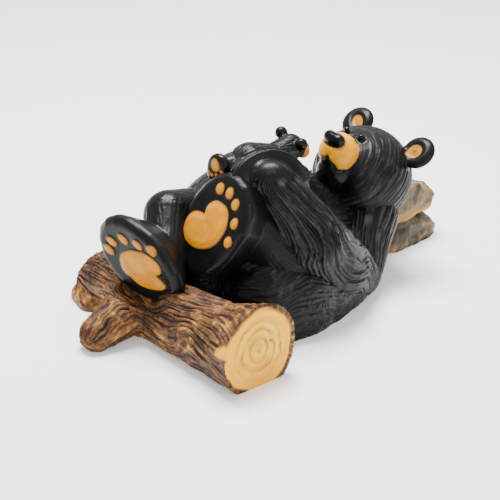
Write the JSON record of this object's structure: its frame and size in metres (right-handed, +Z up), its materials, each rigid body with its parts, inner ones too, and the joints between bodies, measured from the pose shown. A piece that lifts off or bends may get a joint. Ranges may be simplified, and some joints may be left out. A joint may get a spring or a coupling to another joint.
{
  "type": "bear figurine",
  "caption": "Cast resin figurine of a black bear lying on its back, feet on a log and head on stones, cradling its cub on its belly.",
  "frame": {"origin": "on the flat underside, below the middle of the bear's back", "axes": "+X from the soles to the head, +Y to the bear's right, +Z up"},
  "size_m": [0.2656, 0.157, 0.105],
  "materials": {
    "black_paint": "satin black paint over cast resin, rubbed lighter on the carved fur",
    "ochre_paint": "ochre paint on the muzzle, ears and paw pads, darkened in the hollows",
    "bark_paint": "dark brown bark with dry-brushed tan ridges and a cream cut end",
    "stone_paint": "grey-beige stone with ochre in the seams"
  },
  "bodies": {
    "root": {"bear_figurine": "black_paint"}
  },
  "joints": []
}
